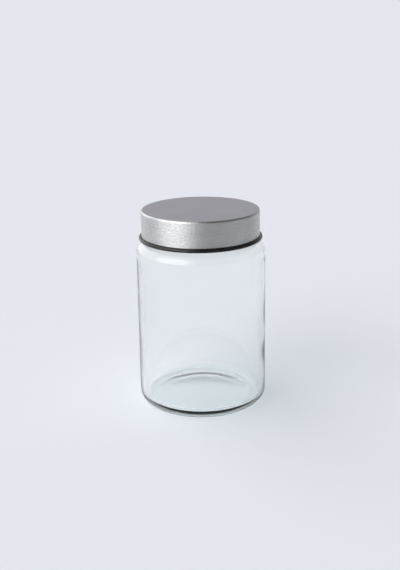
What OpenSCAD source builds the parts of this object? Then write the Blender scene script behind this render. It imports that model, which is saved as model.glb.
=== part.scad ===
/* [Glass jar] */
// Outside diameter of the body
body_d = 64; // [60:0.5:80]
// Height of the body, from the foot to the top of the shoulder
body_h = 82.8; // [50:0.1:140]
// Radius of the shoulder's outer corner
shoulder_r = 6; // [5:0.1:8]
// Radius of the heel, where the side turns into the foot
heel_r = 5; // [3.5:0.1:7]
// Thickness of the side wall
wall_t = 2.8; // [2:0.1:4]
// Height of the inside floor above the table
floor_h = 4.4; // [3.4:0.1:7]
// Radius between the floor and the side, inside
floor_r = 5; // [2:0.1:8]
// Width of the flat ring that the jar stands on
foot_w = 2.6; // [1.5:0.1:4]
// Height of the hollow under the floor
foot_rise = 1.4; // [0.6:0.1:2]

/* [Neck] */
// Outside diameter of the neck
neck_d = 52.8; // [46:0.1:54]
// Height of the neck, from the shoulder to the rim
neck_h = 12; // [10:0.1:16]
// Thickness of the neck's wall
neck_t = 2.6; // [2.2:0.1:3.2]
// Radius of both edges of the rim
rim_r = 1; // [0.4:0.1:1.2]
// Height of the bead round the foot of the neck
bead_h = 1.8; // [1.4:0.1:2.4]
// How far the bead stands out from the neck
bead_out = 0.5; // [0.3:0.1:0.6]
// Radius of the hollow corner between the shoulder and the neck
root_r = 0.8; // [0.4:0.1:1.2]
// Radius of the edge inside, where the neck opens into the body
throat_r = 2; // [1:0.1:3]

/* [Plastic insert] */
// Room between the neck and the bore of the insert, which the threads fill
thread_room = 1.15; // [0.9:0.05:1.6]
// Thickness of the insert's wall
insert_t = 1.25; // [1.1:0.05:1.6]
// Thickness of the insert's top
insert_top_t = 1.2; // [0.8:0.1:2]
// How far the flange stands out past the steel
flange_out = 1.35; // [0.6:0.05:2]
// Thickness of the flange, which has a fully round edge
flange_t = 1.6; // [1.2:0.1:2.4]
// Radius of the bead that holds the liner up
keeper_r = 0.5; // [0.4:0.05:0.6]
// Bevel that leads the neck into the bore
lead_in = 0.5; // [0.3:0.1:0.7]

/* [Steel shell] */
// Thickness of the sheet
steel_t = 0.4; // [0.3:0.05:0.6]
// Outside radius of the top edge
steel_edge_r = 1; // [0.8:0.1:1.6]
// Width of the hem, where the lower edge is rolled in
hem_w = 0.8; // [0.7:0.05:1]

/* [Seal liner] */
// Thickness of the liner
liner_t = 1.6; // [1:0.1:2.4]
// Depth of the track that the rim has pressed into the liner
track_depth = 0.2; // [0.1:0.05:0.4]

/* [Fits] */
// Gap between the shoulder and the flange when the lid is closed
shoulder_gap = 0.3; // [0.3:0.05:0.8]
// Gap round the liner, and on both sides of the rim in its track
liner_gap = 0.3; // [0.2:0.05:0.35]
// Gap between the insert and the steel pressed over it
press_gap = 0.05; // [0.02:0.01:0.1]

/* [Hidden] */
$fn = 128;

clear_glass = [0.86, 0.91, 0.90, 0.45];
black_plastic = [0.06, 0.06, 0.07];
brushed_steel = [0.70, 0.70, 0.71];
liner_white = [0.90, 0.90, 0.88];

// Radii of the jar
body_r = body_d / 2;
inner_r = body_r - wall_t;
neck_r = neck_d / 2;
bore_r = neck_r - neck_t;
foot_r = body_r - heel_r;
hollow_r = foot_r - foot_w;

// Radii of the lid, from the neck outwards
insert_bore_r = neck_r + thread_room;
insert_r = insert_bore_r + insert_t;
steel_bore_r = insert_r + press_gap;
steel_r = steel_bore_r + steel_t;
flange_r = steel_r + flange_out;
liner_r = insert_bore_r - liner_gap;

// Heights, from the table up
rim_z = body_h + neck_h;
flange_z = body_h + shoulder_gap;
hem_z = flange_z + flange_t + press_gap;
liner_z = rim_z - track_depth;
ceiling_z = liner_z + liner_t;
insert_top_z = ceiling_z + insert_top_t;
steel_ceiling_z = insert_top_z + press_gap;
steel_top_z = steel_ceiling_z + steel_t;

// Corner between the neck and the shoulder: a round that runs into both by this much
seam = 0.02;
root_x = neck_r + root_r - seam;
root_past = max(0, root_x - (body_r - shoulder_r));
root_reach = shoulder_r + root_r - seam;
root_z = body_h - shoulder_r + sqrt(pow(root_reach, 2) - pow(root_past, 2));
root_share = root_r / root_reach;

// Hollow under the floor: a round of this radius is hollow_r wide and foot_rise high
hollow_round_r = (pow(hollow_r, 2) + pow(foot_rise, 2)) / (2 * foot_rise);

// Half outline of a disc from the axis out to r, with its lower and upper corners rounded
module disc_outline(r, z0, z1, low_r, high_r) {
    translate([0, z0 + low_r]) square([r, z1 - z0 - low_r - high_r]);
    translate([0, z0]) square([r - low_r, low_r + 0.01]);
    translate([0, z1 - high_r - 0.01]) square([r - high_r, high_r + 0.01]);
    translate([r - low_r, z0 + low_r]) circle(r = low_r);
    translate([r - high_r, z1 - high_r]) circle(r = high_r);
}

// What a rounded edge takes away: a corner at [x, z] that opens outwards, and up or down
module edge_cut(x, z, r, up) {
    translate([x, z]) mirror([0, up ? 0 : 1]) difference() {
        square(r);
        translate([r, r]) circle(r = r);
    }
}

module jar_outside() {
    disc_outline(body_r, 0, body_h, heel_r, shoulder_r);
    translate([0, body_h - shoulder_r]) square([neck_r, neck_h + shoulder_r - rim_r]);
    translate([0, rim_z - rim_r - 0.01]) square([neck_r - rim_r, rim_r + 0.01]);
    translate([neck_r - rim_r, rim_z - rim_r]) circle(r = rim_r);
    difference() {
        polygon([
            [0, body_h - shoulder_r],
            [root_x - root_past * root_share, root_z - (root_z - body_h + shoulder_r) * root_share],
            [root_x, root_z],
            [0, root_z]
        ]);
        translate([root_x, root_z]) circle(r = root_r);
    }
    disc_outline(neck_r + bead_out, root_z, root_z + bead_h, bead_out, bead_out);
}

module jar_cavity() {
    ceiling = body_h - wall_t;
    disc_outline(inner_r, floor_h, ceiling, floor_r, shoulder_r - wall_t);
    translate([0, ceiling - wall_t]) square([bore_r, rim_z]);
    edge_cut(bore_r, ceiling, throat_r, true);
    edge_cut(bore_r, rim_z, rim_r, false);
}

module foot_hollow() {
    intersection() {
        translate([0, foot_rise - hollow_round_r]) circle(r = hollow_round_r, $fn = 1440);
        translate([0, -1]) square([foot_r, foot_rise + 1]);
    }
}

// Blown jar with a rounded shoulder, a neck for the lid and a hollow foot
module glass_jar() {
    color(clear_glass) rotate_extrude() difference() {
        jar_outside();
        jar_cavity();
        foot_hollow();
    }
}

// Soft disc that seals on the rim, with the rim's track in its lower face
module seal_liner() {
    color(liner_white) rotate_extrude() difference() {
        translate([0, liner_z]) square([liner_r, liner_t]);
        translate([bore_r - liner_gap, liner_z - 1])
            square([neck_t + 2 * liner_gap, track_depth + 1]);
    }
}

// Cap that screws on the neck, with a flange under the steel and a groove for its hem
module thread_insert() {
    edge_r = steel_edge_r - steel_t - press_gap;
    groove_x = steel_r - hem_w - press_gap;
    color(black_plastic) rotate_extrude() {
        difference() {
            union() {
                disc_outline(insert_r, flange_z + flange_t / 2, insert_top_z, 0.01, edge_r);
                translate([0, flange_z]) square([flange_r - flange_t / 2, flange_t]);
                translate([flange_r - flange_t / 2, flange_z + flange_t / 2]) circle(d = flange_t);
            }
            translate([0, flange_z - 1]) square([insert_bore_r, ceiling_z - flange_z + 1]);
            polygon([
                [insert_bore_r - 1, flange_z - 1],
                [insert_bore_r + lead_in + 1, flange_z - 1],
                [insert_bore_r - 1, flange_z + lead_in + 1]
            ]);
            translate([groove_x, flange_z + flange_t]) square([insert_t, hem_w + 2 * press_gap]);
        }
        translate([insert_bore_r, liner_z - liner_gap - keeper_r]) circle(r = keeper_r);
    }
}

// Drawn sheet cover, with its lower edge rolled in under the insert's wall
module steel_shell() {
    color(brushed_steel) rotate_extrude() {
        difference() {
            disc_outline(steel_r, hem_z + hem_w / 2, steel_top_z, 0.01, steel_edge_r);
            disc_outline(steel_bore_r, hem_z, steel_ceiling_z, 0.01, steel_edge_r - steel_t);
        }
        translate([steel_r - hem_w / 2, hem_z + hem_w / 2]) circle(d = hem_w);
    }
}

glass_jar();
seal_liner();
thread_insert();
steel_shell();
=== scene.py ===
import math
import bpy
from mathutils import Matrix, Vector


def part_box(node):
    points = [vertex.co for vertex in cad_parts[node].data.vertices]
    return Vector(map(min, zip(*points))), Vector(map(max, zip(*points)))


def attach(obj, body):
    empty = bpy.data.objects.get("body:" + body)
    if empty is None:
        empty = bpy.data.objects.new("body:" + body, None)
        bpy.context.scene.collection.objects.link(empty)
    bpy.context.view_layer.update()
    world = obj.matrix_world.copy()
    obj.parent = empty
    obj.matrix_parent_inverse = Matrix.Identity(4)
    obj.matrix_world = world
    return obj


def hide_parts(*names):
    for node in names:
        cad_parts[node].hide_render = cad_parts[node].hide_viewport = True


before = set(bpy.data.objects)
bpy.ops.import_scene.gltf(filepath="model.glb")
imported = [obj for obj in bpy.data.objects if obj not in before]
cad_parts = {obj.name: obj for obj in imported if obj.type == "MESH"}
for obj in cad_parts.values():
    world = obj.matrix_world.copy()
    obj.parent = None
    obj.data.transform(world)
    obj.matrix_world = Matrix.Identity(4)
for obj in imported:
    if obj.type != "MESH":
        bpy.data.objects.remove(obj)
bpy.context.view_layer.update()        # the imported jar's parts, now in world space, with its other imported objects removed


# Camera: it stands under half a metre from the jar, higher than the lid, and looks down at it. The optical
# centre lies above the middle of the picture, so the frame is shifted. Sizes are in millimetres of a jar
# whose body is 32 mm in radius, and they follow the body that is loaded.
jar_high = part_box("glass_jar")[1]
body_r = jar_high.x
mm = body_r / 32
picture_h = 570
optical_centre_y = 230
focal_px = 867.8
look_down = 13.841
lean = 0.866
camera_place = Vector((-0.28, -416.2, 189.4)) * mm
camera_data = bpy.data.cameras.new("photo_camera")
camera_data.sensor_width = 36
camera_data.lens = focal_px / picture_h * camera_data.sensor_width
camera_data.shift_y = -(picture_h / 2 - optical_centre_y) / picture_h
camera_data.clip_start = 0.01
camera_data.clip_end = 50
camera = bpy.data.objects.new("photo_camera", camera_data)
bpy.context.collection.objects.link(camera)
camera_tilt = Matrix.Rotation(math.radians(90 - look_down), 4, "X")
camera_roll = Matrix.Rotation(math.radians(-lean), 4, "Z")
camera.matrix_world = Matrix.Translation(camera_place) @ camera_tilt @ camera_roll
bpy.context.scene.camera = camera
bpy.context.scene.view_settings.view_transform = "Standard"


# Glass jar: one blown piece of soda-lime glass, with a rounded shoulder, a neck, four short threads that are
# moulded on it, and a foot that stands on a flat ring round a shallow hollow. The mould gives the outside its
# true round; the inside is only blown, so its wall thins towards the shoulder and runs a little uneven.
class Outline:
    """A half outline in the plane y = 0, drawn from point to point and then spun round the axis."""

    def __init__(self, name, x, z):
        bpy.ops.object.select_all(action="DESELECT")
        bpy.ops.mesh.primitive_plane_add(size=mm)
        self.piece = bpy.context.object
        self.piece.name = self.piece.data.name = name
        bpy.ops.object.mode_set(mode="EDIT")
        bpy.ops.mesh.select_all(action="SELECT")
        bpy.ops.mesh.merge(type="CENTER")
        bpy.ops.transform.translate(value=(x, 0, z))
        self.x, self.z = x, z

    def line(self, x, z, parts=1):
        """Draws the last point straight to a new place."""
        step = ((x - self.x) / parts, 0, (z - self.z) / parts)
        for _ in range(parts):
            bpy.ops.mesh.extrude_region_move(TRANSFORM_OT_translate={"value": step})
        self.x, self.z = x, z

    def bend(self, centre_x, centre_z, degrees, parts):
        """Draws the last point round a centre, anticlockwise where degrees is positive."""
        turn = math.radians(degrees)
        bpy.ops.mesh.spin(steps=parts, angle=turn, center=(centre_x, 0, centre_z), axis=(0, 1, 0))
        dx, dz = self.x - centre_x, self.z - centre_z
        self.x = centre_x + dx * math.cos(turn) - dz * math.sin(turn)
        self.z = centre_z + dx * math.sin(turn) + dz * math.cos(turn)

    def revolve(self, parts):
        """Spins the outline into a closed piece, with its seam and poles merged."""
        bpy.ops.mesh.select_all(action="SELECT")
        bpy.ops.mesh.spin(steps=parts, angle=math.tau, center=(0, 0, 0), axis=(0, 0, 1))
        bpy.ops.mesh.select_all(action="SELECT")
        bpy.ops.mesh.remove_doubles(threshold=0.0005 * mm)
        bpy.ops.mesh.normals_make_consistent(inside=False)
        bpy.ops.object.mode_set(mode="OBJECT")
        bpy.ops.object.shade_smooth()
        return self.piece


class Socket:
    """A shader socket that takes part in Python expressions; each operator adds its Math node."""

    def __init__(self, tree, output):
        self.tree, self.output = tree, output

    def node(self, kind, settings=(), **values):
        """Adds a node of this kind with its settings, then fills its sockets with values or links."""
        made = self.tree.nodes.new(kind)
        for key, value in dict(settings).items():
            setattr(made, key, value)
        for key, value in values.items():
            name = key.replace("_", " ")
            socket = made.inputs[int(name[5:])] if name.startswith("input") else made.inputs[name]
            if isinstance(value, Socket):
                self.tree.links.new(value.output, socket)
            else:
                socket.default_value = value
        return made

    def combine(self, operation, first, second):
        """Two values, of which either may be a plain number, put through one Math node."""
        made = self.node("ShaderNodeMath", {"operation": operation}, input0=first, input1=second)
        return Socket(self.tree, made.outputs[0])

    def __add__(self, other):
        return self.combine("ADD", self, other)

    def __sub__(self, other):
        return self.combine("SUBTRACT", self, other)

    def __rsub__(self, other):
        return self.combine("SUBTRACT", other, self)

    def __mul__(self, other):
        return self.combine("MULTIPLY", self, other)

    __radd__, __rmul__ = __add__, __mul__

    def between(self, low, high):
        """0 below low and 1 above high, with a smooth rise from one to the other."""
        smooth = {"interpolation_type": "SMOOTHSTEP"}
        made = self.node("ShaderNodeMapRange", smooth, Value=self, From_Min=low, From_Max=high)
        return Socket(self.tree, made.outputs["Result"])

    def stretched(self, stretch):
        """This place, scaled along each axis, for a grain that runs one way."""
        made = self.node("ShaderNodeMapping", Vector=self, Scale=stretch)
        return Socket(self.tree, made.outputs["Vector"])

    def noise(self, scale, detail, rough=0.5):
        """A cloudy value over this place, with about so many clouds to a metre."""
        made = self.node("ShaderNodeTexNoise", Vector=self, Scale=scale, Detail=detail, Roughness=rough)
        return Socket(self.tree, made.outputs["Fac"])

    def blend(self, low, high):
        """A colour between two, by this value."""
        colours = {"input6": (*low, 1), "input7": (*high, 1)}
        made = self.node("ShaderNodeMix", {"data_type": "RGBA"}, Factor=self, **colours)
        return Socket(self.tree, made.outputs[2])

    def bump(self, distance, strength):
        """A normal that follows this value as a height."""
        made = self.node("ShaderNodeBump", Height=self, Distance=distance, Strength=strength)
        return Socket(self.tree, made.outputs["Normal"])

    def pick(self, first, second):
        """The first shader where this value is 0, and the second where it is 1."""
        made = self.node("ShaderNodeMixShader", Fac=self)
        self.tree.links.new(first.outputs[0], made.inputs[1])
        self.tree.links.new(second.outputs[0], made.inputs[2])
        return made

    def into(self, node, name):
        """Links this value to a socket of a node."""
        self.tree.links.new(self.output, node.inputs[name])


def new_finish(name):
    """A material, its Principled shader, and its place in object coordinates."""
    finish = bpy.data.materials.new(name)
    finish.use_nodes = True
    nodes = finish.node_tree.nodes
    place = Socket(finish.node_tree, nodes.new("ShaderNodeTexCoord").outputs["Object"])
    return finish, nodes["Principled BSDF"], place


# Sizes of the outside, from the foot up to the rim.
heel_r = 5 * mm
hollow_r = 24.4 * mm
hollow_rise = 1.4 * mm
hollow_round = (hollow_r ** 2 + hollow_rise ** 2) / (2 * hollow_rise)
hollow_turn = math.degrees(math.asin(hollow_r / hollow_round))
shoulder_top = 82.8 * mm
shoulder_r = 6 * mm
shoulder_x = body_r - shoulder_r
shoulder_z = shoulder_top - shoulder_r
neck_r = 26.4 * mm
root_r = 0.8 * mm
root_x = neck_r + root_r
root_z = shoulder_z + math.sqrt((shoulder_r + root_r) ** 2 - (root_x - shoulder_x) ** 2)
root_turn = math.degrees(math.atan2(root_z - shoulder_z, root_x - shoulder_x))
bead_out = 0.5 * mm
bead_h = 1.8 * mm
rim_z = jar_high.z
rim_r = 1 * mm

# Sizes of the inside, from the mouth down to the floor.
neck_bore_r = 23.8 * mm
throat_r = 0.6 * mm
ceiling = shoulder_top - 1.6 * mm
inside_r = body_r - 2.8 * mm
floor_z = 3.4 * mm
floor_r = 2.8 * mm

glass = Outline("jar_glass", 0, hollow_rise)
glass.bend(0, hollow_rise - hollow_round, -hollow_turn, 14)
glass.line(body_r - heel_r, 0, 3)
glass.bend(body_r - heel_r, heel_r, 90, 12)
glass.line(body_r, shoulder_z, 40)
glass.bend(shoulder_x, shoulder_z, root_turn, 12)
glass.bend(root_x, root_z, -root_turn, 6)
glass.bend(neck_r, root_z + bead_out, 90, 5)
glass.line(neck_r + bead_out, root_z + bead_h - bead_out)
glass.bend(neck_r, root_z + bead_h - bead_out, 90, 5)
glass.line(neck_r, rim_z - rim_r, 36)
glass.bend(neck_r - rim_r, rim_z - rim_r, 90, 6)
glass.line(neck_bore_r + rim_r, rim_z)
glass.bend(neck_bore_r + rim_r, rim_z - rim_r, 90, 6)
glass.line(neck_bore_r, ceiling + throat_r, 12)
glass.bend(neck_bore_r + throat_r, ceiling + throat_r, 90, 6)
glass.bend(neck_bore_r + throat_r, ceiling - shoulder_r, -90, 14)
glass.line(inside_r, floor_z + floor_r, 40)
glass.bend(inside_r - floor_r, floor_z + floor_r, -90, 12)
glass.line(0, floor_z, 10)
jar_glass = glass.revolve(256)

# Four threads: each climbs at the same lead, for a little over a quarter turn, and tapers off at both ends.
thread_starts = 4
thread_lead = 12 * mm
thread_half_w = 0.7 * mm
neck_thread_h = 0.95 * mm
neck_thread_low = 87.9 * mm


def thread_weights(piece, wall_r, low_z, first_turn, span_turn):
    """A vertex group that is 1 along the threads' crests and falls to 0 at their flanks and tapered ends."""
    off_wall = 0.02 * mm
    taper_turn = 0.03
    crest_flatness = 1.7
    group = piece.vertex_groups.new(name="threads")
    for vertex in piece.data.vertices:
        x, y, z = vertex.co
        in_reach = low_z - thread_half_w <= z <= low_z + thread_lead
        if abs(math.hypot(x, y) - wall_r) > off_wall or not in_reach:
            continue
        turn = (math.atan2(y, x) / math.tau - first_turn) % (1 / thread_starts)
        for along in (turn, turn + 1 / thread_starts):
            off = abs(z - low_z - along * thread_lead) / thread_half_w
            ends = min(along, span_turn - along) / taper_turn
            if off < 1 and ends > 0:
                flank = 0.5 + 0.5 * math.cos(math.pi * off)
                group.add([vertex.index], min(1, crest_flatness * flank) * min(1, ends) ** 0.5, "REPLACE")
    return group


def push_out(piece, group, height, cloud=None):
    """Moves the group's points out by the height, or with a cloud by up to half of it, out or in."""
    bpy.ops.object.select_all(action="DESELECT")
    piece.select_set(True)
    bpy.context.view_layer.objects.active = piece
    push = piece.modifiers.new(group.name, "DISPLACE")
    push.vertex_group = group.name
    push.strength = height
    push.mid_level = 0
    if cloud:
        push.texture = cloud
        push.texture_coords = "LOCAL"
        push.mid_level = 0.5
    bpy.ops.object.modifier_apply(modifier=push.name)


neck_threads = thread_weights(jar_glass, neck_r, neck_thread_low, first_turn=0.02, span_turn=0.27)
push_out(jar_glass, neck_threads, neck_thread_h)

# The blown inside: a slow swell and hollow of the wall, and a finer one over it, more on the camera's right.
# Both fade out towards the floor and the shoulder.
inside_reach = body_r - 1.5 * mm
inside_top = ceiling - 1 * mm
fade_above_floor = 14 * mm
fade_below_ceiling = 8 * mm
least_uneven = 0.08
slow_swell = 0.55 * mm
fine_swell = 0.1 * mm
blown = jar_glass.vertex_groups.new(name="blown_inside")
for vertex in jar_glass.data.vertices:
    x, y, z = vertex.co
    if math.hypot(x, y) < inside_reach and floor_z < z < inside_top:
        fade = min(1, (z - floor_z) / fade_above_floor, (ceiling - z) / fade_below_ceiling)
        to_the_right = 0.5 + 0.5 * x / body_r
        uneven = least_uneven + (1 - least_uneven) * to_the_right ** 3
        blown.add([vertex.index], fade * uneven, "REPLACE")
slow_cloud = bpy.data.textures.new("slow_wall", "CLOUDS")
slow_cloud.noise_scale = 0.024
slow_cloud.noise_depth = 1
push_out(jar_glass, blown, slow_swell, slow_cloud)
fine_cloud = bpy.data.textures.new("fine_wall", "CLOUDS")
fine_cloud.noise_scale = 0.011
fine_cloud.noise_depth = 0
push_out(jar_glass, blown, fine_swell, fine_cloud)

# Clear glass: hardly any colour, a little green through its thickness, and a faint bloom from handling. The
# ring that it stands on is stippled, which scatters the light. Its shadow is pale, as light gets through it.
stipple_full_z = 0.3 * mm
stipple_end_z = 1.6 * mm
bloom_rough = 0.02
stipple_rough = 0.32
glass_finish, shader, place = new_finish("clear_glass")
shader.inputs["Base Color"].default_value = (0.985, 0.995, 0.99, 1)
shader.inputs["Transmission Weight"].default_value = 1
shader.inputs["IOR"].default_value = 1.52
bloom = place.noise(60, 4).between(0.52, 0.78)
axes = place.node("ShaderNodeSeparateXYZ", Vector=place)
x, y, z = (Socket(place.tree, axes.outputs[axis]) for axis in "XYZ")
past_hollow = (x * x + y * y).between((hollow_r - mm) ** 2, hollow_r ** 2)
stipple = (1 - z.between(stipple_full_z, stipple_end_z)) * past_hollow
(bloom * bloom_rough + stipple * stipple_rough).into(shader, "Roughness")
ripple = place.stretched((1, 1, 0.45)).noise(95, 2)
ripple.bump(0.03 * mm, 0.35).into(shader, "Normal")
light_path = place.node("ShaderNodeLightPath")
shadow_ray = Socket(place.tree, light_path.outputs["Is Shadow Ray"])
clear = place.node("ShaderNodeBsdfTransparent", Color=(0.93, 0.95, 0.945, 1))
depth_tint = place.node("ShaderNodeVolumeAbsorption", Color=(0.78, 0.90, 0.86, 1), Density=6.0)
glass_output = place.tree.nodes["Material Output"]
place.tree.links.new(shadow_ray.pick(shader, clear).outputs[0], glass_output.inputs["Surface"])
place.tree.links.new(depth_tint.outputs[0], glass_output.inputs["Volume"])
jar_glass.data.materials.append(glass_finish)
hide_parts("glass_jar")
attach(jar_glass, "jar")


# Seal liner: a disc die-cut from white closed-cell foam sheet, snapped in above a bead of the insert. The rim
# has pressed a shallow track into its lower face.
liner_low, liner_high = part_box("seal_liner")
liner_r, liner_z, liner_top = liner_high.x, liner_low.z, liner_high.z
liner_edge_r = 0.25 * mm
track_gap = 0.3 * mm
track_slope = 0.1 * mm
liner = Outline("liner_disc", 0, liner_z)
liner.line(neck_bore_r - track_gap - track_slope, liner_z, 8)
liner.line(neck_bore_r - track_gap, rim_z)
liner.line(neck_r + track_gap, rim_z, 3)
liner.line(neck_r + track_gap + track_slope, liner_z)
liner.line(liner_r - liner_edge_r, liner_z)
liner.bend(liner_r - liner_edge_r, liner_z + liner_edge_r, 90, 4)
liner.line(liner_r, liner_top - liner_edge_r)
liner.bend(liner_r - liner_edge_r, liner_top - liner_edge_r, 90, 4)
liner.line(0, liner_top, 8)
liner_disc = liner.revolve(160)
crease = math.radians(35)
bpy.ops.object.shade_smooth_by_angle(angle=crease)

foam, shader, place = new_finish("liner_foam")
cells = place.noise(1400, 2)
cells.between(0.3, 0.7).blend((0.78, 0.78, 0.75), (0.88, 0.88, 0.86)).into(shader, "Base Color")
(0.55 + cells * 0.2).into(shader, "Roughness")
cells.bump(0.06 * mm, 0.6).into(shader, "Normal")
liner_disc.data.materials.append(foam)
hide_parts("seal_liner")
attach(liner_disc, "liner")


# Plastic insert: the screw cap itself, moulded in black polypropylene, with four threads in its bore, a bead
# that holds the liner up, a groove for the steel's hem and a flange that closes down over the shoulder.
insert_low, insert_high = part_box("thread_insert")
flange_r, flange_z, insert_top = insert_high.x, insert_low.z, insert_high.z
flange_t = 1.6 * mm
lead_in = 0.5 * mm
liner_gap = 0.3 * mm
insert_wall = 1.25 * mm
insert_bore_r = liner_r + liner_gap
insert_r = insert_bore_r + insert_wall
insert_edge_r = 0.55 * mm
groove_x = 28.4 * mm
groove_h = 0.9 * mm
groove_low = flange_z + flange_t
groove_high = groove_low + groove_h
keeper_r = 0.5 * mm
keeper_play = 0.3 * mm
keeper_z = liner_z - keeper_play - keeper_r
insert = Outline("insert_cap", 0, insert_top)
insert.line(insert_r - insert_edge_r, insert_top, 4)
insert.bend(insert_r - insert_edge_r, insert_top - insert_edge_r, -90, 5)
insert.line(insert_r, groove_high, 6)
insert.line(groove_x, groove_high)
insert.line(groove_x, groove_low)
insert.line(flange_r - flange_t / 2, groove_low, 2)
insert.bend(flange_r - flange_t / 2, flange_z + flange_t / 2, -180, 12)
insert.line(insert_bore_r + lead_in, flange_z, 2)
insert.line(insert_bore_r, flange_z + lead_in)
insert.line(insert_bore_r, keeper_z - keeper_r, 40)
insert.bend(insert_bore_r, keeper_z, -180, 8)
insert.line(insert_bore_r, liner_top, 3)
insert.line(0, liner_top, 4)
insert_cap = insert.revolve(256)

# Its threads run below those of the neck, about half of the way down to the next one.
cap_thread_h = 0.9 * mm
cap_thread_low = neck_thread_low - thread_lead / thread_starts / 2
cap_threads = thread_weights(insert_cap, insert_bore_r, cap_thread_low, first_turn=0.05, span_turn=0.2)
push_out(insert_cap, cap_threads, cap_thread_h)
bpy.ops.object.shade_smooth_by_angle(angle=crease)

black, shader, place = new_finish("black_plastic")
grain = place.noise(900, 3)
grain.between(0.35, 0.65).blend((0.006, 0.006, 0.007), (0.010, 0.010, 0.011)).into(shader, "Base Color")
(0.1 + grain * 0.08).into(shader, "Roughness")
grain.bump(0.02 * mm, 0.4).into(shader, "Normal")
shader.inputs["Specular IOR Level"].default_value = 0.3
insert_cap.data.materials.append(black)
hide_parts("thread_insert")
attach(insert_cap, "cap")


# Steel shell: a cup drawn from thin stainless sheet, with its lower edge rolled in over the insert. Its side
# is brushed round and round, and its flat top has an even satin grain.
steel_low, steel_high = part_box("steel_shell")
steel_r, hem_z, steel_top = steel_high.x, steel_low.z, steel_high.z
steel_t = 0.4 * mm
steel_edge_r = 1 * mm
hem_r = 0.4 * mm
steel_bore_r = steel_r - steel_t
steel_ceiling = steel_top - steel_t
inner_edge_r = steel_edge_r - steel_t
beside_edge = 0.3 * mm
above_hem = 0.2 * mm
steel = Outline("steel_cover", 0, steel_top)
steel.line(steel_r - steel_edge_r - beside_edge, steel_top, 6)
steel.line(steel_r - steel_edge_r, steel_top)
steel.bend(steel_r - steel_edge_r, steel_top - steel_edge_r, -90, 10)
steel.line(steel_r, steel_top - steel_edge_r - beside_edge)
steel.line(steel_r, hem_z + hem_r + above_hem, 8)
steel.line(steel_r, hem_z + hem_r)
steel.bend(steel_r - hem_r, hem_z + hem_r, -270, 14)
steel.line(steel_bore_r, steel_ceiling - inner_edge_r, 4)
steel.bend(steel_bore_r - inner_edge_r, steel_ceiling - inner_edge_r, 90, 5)
steel.line(0, steel_ceiling, 4)
steel_cover = steel.revolve(256)

# The side's shine is drawn out up and down, across the brush lines, and fine dimples break it up.
side_steel, shader, place = new_finish("brushed_side")
around = place.stretched((1, 1, 34)).noise(120, 4, 0.6)
mottle = place.noise(850, 3, 0.7)
worn = place.noise(38, 4, 0.6)
tone = (around * 0.55 + mottle * 0.25 + worn * 0.2).between(0.38, 0.62)
tone.blend((0.42, 0.42, 0.42), (0.53, 0.53, 0.53)).into(shader, "Base Color")
(0.27 + around * 0.08 + mottle * 0.08).into(shader, "Roughness")
(around * 0.25 + mottle * 0.75).bump(0.23 * mm, 1.0).into(shader, "Normal")
shader.inputs["Metallic"].default_value = 1
shader.inputs["Anisotropic"].default_value = 0.85
shader.inputs["Anisotropic Rotation"].default_value = 0.25
steel_cover.data.materials.append(side_steel)

top_steel, shader, place = new_finish("satin_top")
satin = place.stretched((1, 9, 1)).noise(260, 3, 0.6)
specks = place.noise(520, 2, 0.6)
worn = place.noise(30, 4, 0.6)
tone = (satin * 0.6 + worn * 0.4).between(0.36, 0.64)
tone.blend((0.44, 0.44, 0.485), (0.50, 0.50, 0.55)).into(shader, "Base Color")
(0.34 + satin * 0.1 + specks * 0.05).into(shader, "Roughness")
(satin * 0.6 + specks * 0.4).bump(0.015 * mm, 0.3).into(shader, "Normal")
shader.inputs["Metallic"].default_value = 1
steel_cover.data.materials.append(top_steel)
nearly_level = 0.9
for face in steel_cover.data.polygons:
    on_top = face.normal.z > nearly_level and face.center.z > steel_top - steel_t / 2
    face.material_index = 1 if on_top else 0
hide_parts("steel_shell")
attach(steel_cover, "cap")


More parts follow.
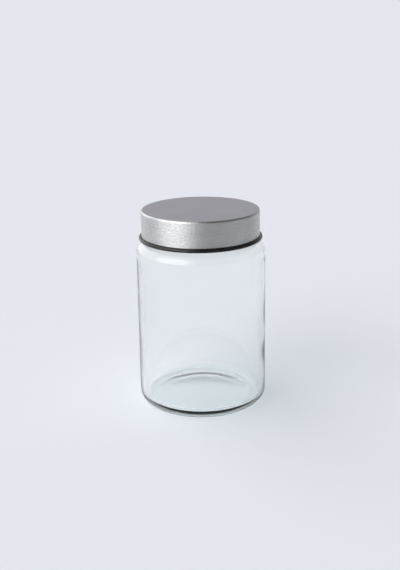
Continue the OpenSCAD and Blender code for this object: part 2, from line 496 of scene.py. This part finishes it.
# Studio: a wide pale floor that runs out into an even pale distance. It is one-sided, so that the foot can be
# looked at from below. Its sizes are in metres.
stage_r = 6
fade_start = 0.5
fade_end = 1.6
backdrop_tone = (0.77, 0.795, 0.84, 1)
bpy.ops.object.select_all(action="DESELECT")
bpy.ops.mesh.primitive_circle_add(vertices=128, radius=stage_r, fill_type="NGON", location=(0, 0, 0))
floor = bpy.context.object
floor.name = "floor"
floor_finish, shader, place = new_finish("pale_floor")
shader.inputs["Base Color"].default_value = (0.775, 0.80, 0.85, 1)
shader.inputs["Roughness"].default_value = 0.9
shader.inputs["Specular IOR Level"].default_value = 0.1
reach = place.node("ShaderNodeVectorMath", {"operation": "LENGTH"}, input0=place)
far_away = Socket(place.tree, reach.outputs["Value"]).between(fade_start, fade_end)
distance = place.node("ShaderNodeEmission", Color=backdrop_tone, Strength=1.0)
surface = place.node("ShaderNodeNewGeometry")
from_below = Socket(place.tree, surface.outputs["Backfacing"])
see_through = place.node("ShaderNodeBsdfTransparent")
one_sided = from_below.pick(far_away.pick(shader, distance), see_through)
floor_output = place.tree.nodes["Material Output"]
place.tree.links.new(one_sided.outputs[0], floor_output.inputs["Surface"])
floor.data.materials.append(floor_finish)

# Soft sky: a pale room on the left and behind, one broad window of light at the left front, and a dark room
# at the right front. Azimuth 0 is where the camera stands, and it grows to the right. The camera, and what is
# seen through the glass, have the plain backdrop in its place.
world = bpy.data.worlds.new("soft_sky")
bpy.context.scene.world = world
world.use_nodes = True
tree = world.node_tree
tree.nodes.clear()
way = Socket(tree, tree.nodes.new("ShaderNodeTexCoord").outputs["Generated"])


def facing(azimuth, elevation):
    """How far a direction of the sky lies towards this one: 1 straight on, 0 across."""
    a, e = math.radians(azimuth), math.radians(elevation)
    aim = (math.sin(a) * math.cos(e), -math.cos(a) * math.cos(e), math.sin(e))
    made = way.node("ShaderNodeVectorMath", {"operation": "DOT_PRODUCT"}, input0=way, input1=aim)
    return Socket(tree, made.outputs["Value"])


window = facing(-54, 20).between(0.82, 0.93)
bright_side = facing(-85, 5).between(0.15, 0.42)
behind = facing(180, 0).between(0.3, 0.75)
right_glow = facing(78, 5).between(0.88, 0.99)
overhead = facing(0, 90).between(0.5, 0.9)
level = 0.11 + bright_side * 1.45 + behind * 0.44 + right_glow * 0.22 + overhead * 0.1 + window * 2.8
sky = way.node("ShaderNodeBackground", Color=(1, 1, 1, 1), Strength=level)
backdrop = way.node("ShaderNodeBackground", Color=backdrop_tone, Strength=1.0)
ray = way.node("ShaderNodeLightPath")
camera_ray = Socket(tree, ray.outputs["Is Camera Ray"])
glass_ray = Socket(tree, ray.outputs["Is Transmission Ray"])
shown = way.combine("MAXIMUM", camera_ray, glass_ray).pick(sky, backdrop)
world_output = way.node("ShaderNodeOutputWorld")
tree.links.new(shown.outputs[0], world_output.inputs["Surface"])
